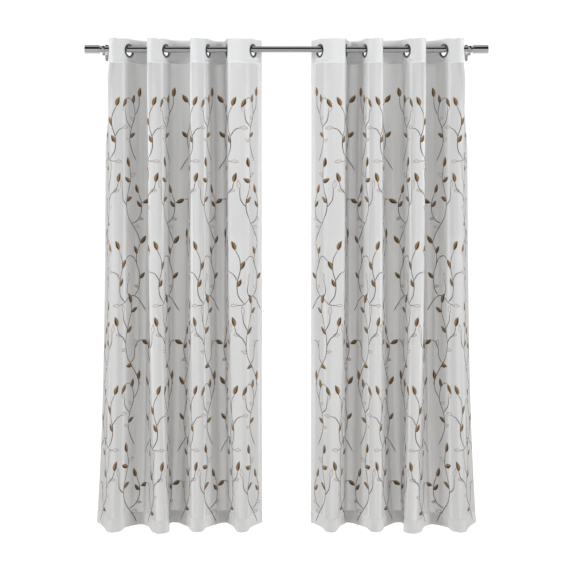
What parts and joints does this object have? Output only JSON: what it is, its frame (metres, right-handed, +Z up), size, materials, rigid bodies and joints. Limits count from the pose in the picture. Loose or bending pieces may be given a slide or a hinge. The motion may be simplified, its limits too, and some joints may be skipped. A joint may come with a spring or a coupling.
{
  "type": "sheer voile curtain pair on curtain rod",
  "caption": "Pair of sheer embroidered voile curtains with eyelet headings, hung in soft folds on a metal rod with cylinder finials and two wall brackets.",
  "frame": {"origin": "on the wall plane, midway between the two wall plates and level with the axis of the rod", "axes": "+Z up, +Y into the wall, so the room is on the -Y side; +X to the right seen from the room"},
  "size_m": [1.765, 0.1877, 2.1341],
  "materials": {
    "voile": "sheer woven voile with embroidered vines",
    "heading_voile": "doubled voile over a stiffener",
    "embroidery_gold": "satin stitch",
    "embroidery_brown": "satin stitch",
    "embroidery_grey": "chain stitch",
    "embroidery_rose": "chain stitch",
    "embroidery_white": "satin stitch",
    "thread": "lock stitch",
    "nickel": "satin nickel plate",
    "dark_nickel": "dark nickel plate"
  },
  "bodies": {
    "root": {"rod": "nickel", "finial_left": "nickel", "bracket_left": "nickel", "set_screw_left": "nickel", "wall_screw_left_upper": "nickel", "wall_screw_left_lower": "nickel", "heading_left": "heading_voile", "panel_left": "voile", "eyelet_left_1": "dark_nickel", "eyelet_left_2": "dark_nickel", "eyelet_left_3": "dark_nickel", "eyelet_left_4": "dark_nickel", "eyelet_left_5": "dark_nickel", "eyelet_left_6": "dark_nickel", "eyelet_left_7": "dark_nickel", "eyelet_left_8": "dark_nickel", "finial_right": "nickel", "bracket_right": "nickel", "set_screw_right": "nickel", "wall_screw_right_upper": "nickel", "wall_screw_right_lower": "nickel", "heading_right": "heading_voile", "panel_right": "voile", "eyelet_right_1": "dark_nickel", "eyelet_right_2": "dark_nickel", "eyelet_right_3": "dark_nickel", "eyelet_right_4": "dark_nickel", "eyelet_right_5": "dark_nickel", "eyelet_right_6": "dark_nickel", "eyelet_right_7": "dark_nickel", "eyelet_right_8": "dark_nickel"}
  },
  "joints": []
}
